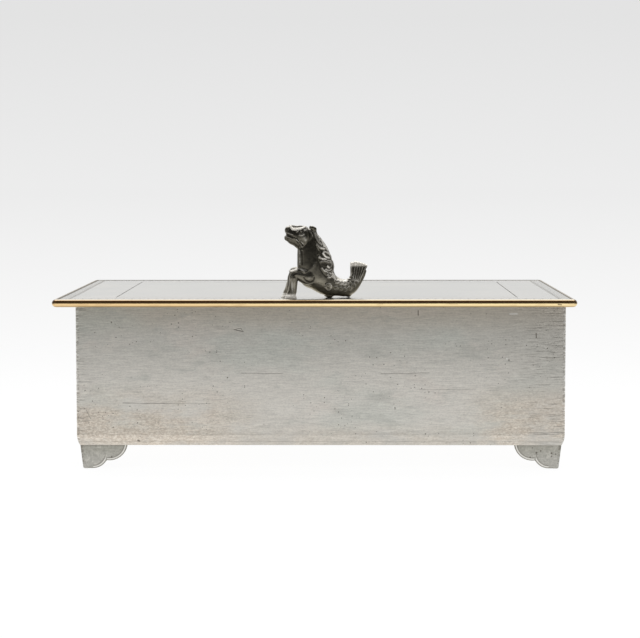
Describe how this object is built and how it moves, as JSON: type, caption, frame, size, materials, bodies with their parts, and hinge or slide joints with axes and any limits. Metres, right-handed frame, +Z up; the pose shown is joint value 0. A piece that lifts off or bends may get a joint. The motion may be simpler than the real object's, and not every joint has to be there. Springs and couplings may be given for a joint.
{
  "type": "pewter table casket",
  "caption": "Rectangular pewter table casket with a hinged, brass-edged lid, a cast sea horse as its thumb-piece and ogee bracket feet.",
  "frame": {"origin": "on the table, under the middle of the closed lid", "axes": "+Z up, +X to the right as the casket is seen from the front, +Y to the back where the hinge is"},
  "size_m": [0.25, 0.16, 0.1163],
  "materials": {
    "sheet_pewter": "brushed sheet pewter with pits, scratches and a warm patina",
    "lid_pewter": "brushed sheet pewter, engraved, lightly worn",
    "foot_pewter": "brushed pewter plate with bright bevelled edges",
    "cast_pewter": "cast pewter, blackened in the hollows and rubbed bright on the high places",
    "rim_brass": "polished half-round brass, slightly tarnished",
    "hinge_brass": "dull drawn brass"
  },
  "bodies": {
    "box": {"base_plate": "sheet_pewter", "front_wall": "sheet_pewter", "back_wall": "sheet_pewter", "left_wall": "sheet_pewter", "right_wall": "sheet_pewter", "foot_front_left_front": "foot_pewter", "foot_front_left_side": "foot_pewter", "foot_front_right_front": "foot_pewter", "foot_front_right_side": "foot_pewter", "foot_back_right_back": "foot_pewter", "foot_back_right_side": "foot_pewter", "foot_back_left_back": "foot_pewter", "foot_back_left_side": "foot_pewter", "hinge_leaf_box": "hinge_brass", "hinge_pin": "hinge_brass"},
    "lid": {"lid_plate": "lid_pewter", "rim_front": "rim_brass", "rim_back": "rim_brass", "rim_left": "rim_brass", "rim_right": "rim_brass", "hinge_leaf_lid": "hinge_brass", "sea_horse": "cast_pewter"}
  },
  "joints": [
    {"name": "lid_hinge", "type": "hinge", "parent": "box", "child": "lid", "pos_m": [0, 0.0753, 0.0778], "axis": [-1, 0, 0], "range_deg": [0, 125]}
  ]
}
